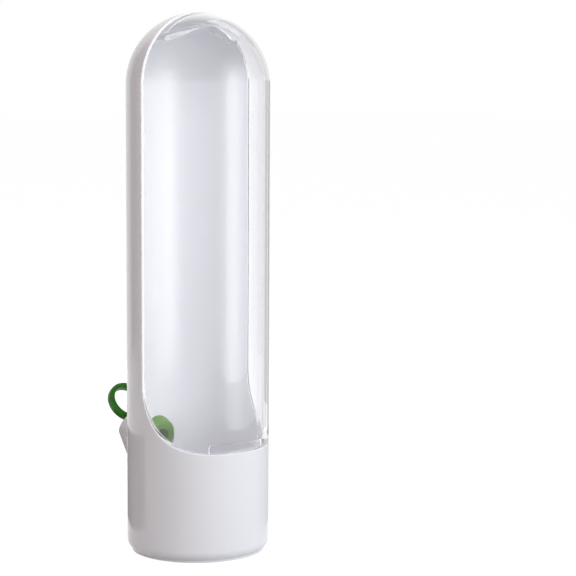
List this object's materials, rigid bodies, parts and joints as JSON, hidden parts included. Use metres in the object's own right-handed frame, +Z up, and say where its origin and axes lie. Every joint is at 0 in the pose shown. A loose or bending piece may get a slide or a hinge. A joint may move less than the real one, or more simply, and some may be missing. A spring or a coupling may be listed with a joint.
{
  "type": "herb keeper",
  "caption": "Tall round-topped water keeper for fresh herbs, with a white shell, a clear cover that tips forward, and a soft stopper in a fill spout.",
  "frame": {"origin": "centre of the flat foot, on the keeper's axis", "axes": "+Z up along the keeper's axis, the clear window looks along -Y, the fill spout stands out along +Y"},
  "size_m": [0.063, 0.09, 0.237],
  "materials": {
    "shell": "white moulded ABS, gloss",
    "clear_cover": "clear moulded AS, polished",
    "stopper": "moulded silicone, satin"
  },
  "bodies": {
    "root": {"back_shell": "shell", "base_cap": "shell"},
    "cover": {"front_cover": "clear_cover"},
    "stopper": {"fill_stopper": "stopper"}
  },
  "joints": [
    {"name": "cover_tip", "type": "hinge", "parent": "root", "child": "cover", "pos_m": [0, -0.0315, 0.0475], "axis": [1, 0, 0], "range_deg": [0, 60]},
    {"name": "stopper_pull", "type": "slide", "parent": "root", "child": "stopper", "axis": [0, 0.9272, 0.3746], "range_m": [0, 0.022]}
  ]
}
